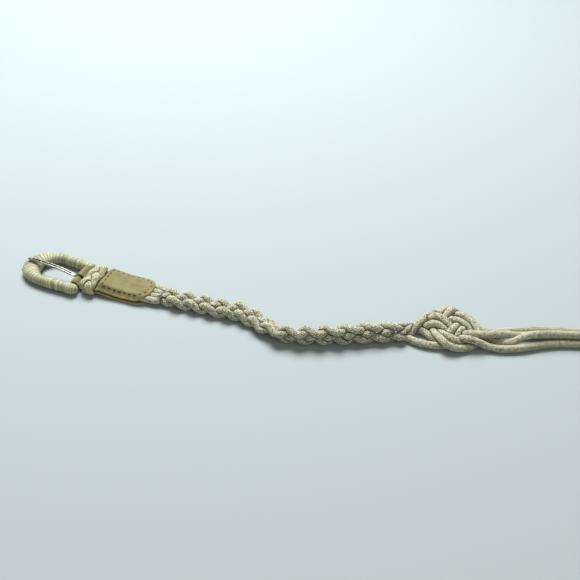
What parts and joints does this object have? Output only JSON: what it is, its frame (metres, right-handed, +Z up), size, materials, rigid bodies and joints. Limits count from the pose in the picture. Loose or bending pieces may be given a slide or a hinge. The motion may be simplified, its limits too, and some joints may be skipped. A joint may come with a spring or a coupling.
{
  "type": "braided cord belt",
  "caption": "Narrow braided cotton cord belt with a thread-wrapped pin buckle, stitched suede tab, knotted pairs of cords and loose tails.",
  "frame": {"origin": "on the surface that the belt lies on, under the middle of its bounding box", "axes": "+X along the belt from the buckle to the tails, +Y to the back, +Z up from the surface"},
  "size_m": [0.3702, 0.1, 0.0127],
  "materials": {
    "nickel": "polished nickel wire",
    "waxed_thread": "waxed cotton thread, wound close, slight sheen",
    "suede": "matt tan suede",
    "keeper_cotton": "soft plaited cotton",
    "cotton_cord": "matt woven cotton cord"
  },
  "bodies": {
    "strap": {"leather_tab": "suede", "keeper_loop": "keeper_cotton", "braid": "cotton_cord", "knot": "cotton_cord", "tail_1": "cotton_cord", "tail_2": "cotton_cord", "tail_3": "cotton_cord", "tail_4": "cotton_cord"},
    "frame": {"buckle_frame": "nickel", "frame_wrap": "waxed_thread"},
    "prong": {"prong": "nickel"}
  },
  "joints": [
    {"name": "frame_hinge", "type": "hinge", "parent": "strap", "child": "frame", "pos_m": [-0.14316, 0.02217, 0.00375], "axis": [0.4258, 0.9048, 0], "range_deg": [-90, 35]},
    {"name": "prong_hinge", "type": "hinge", "parent": "frame", "child": "prong", "pos_m": [-0.14316, 0.02217, 0.00375], "axis": [0.4258, 0.9048, 0], "range_deg": [0, 70]}
  ]
}
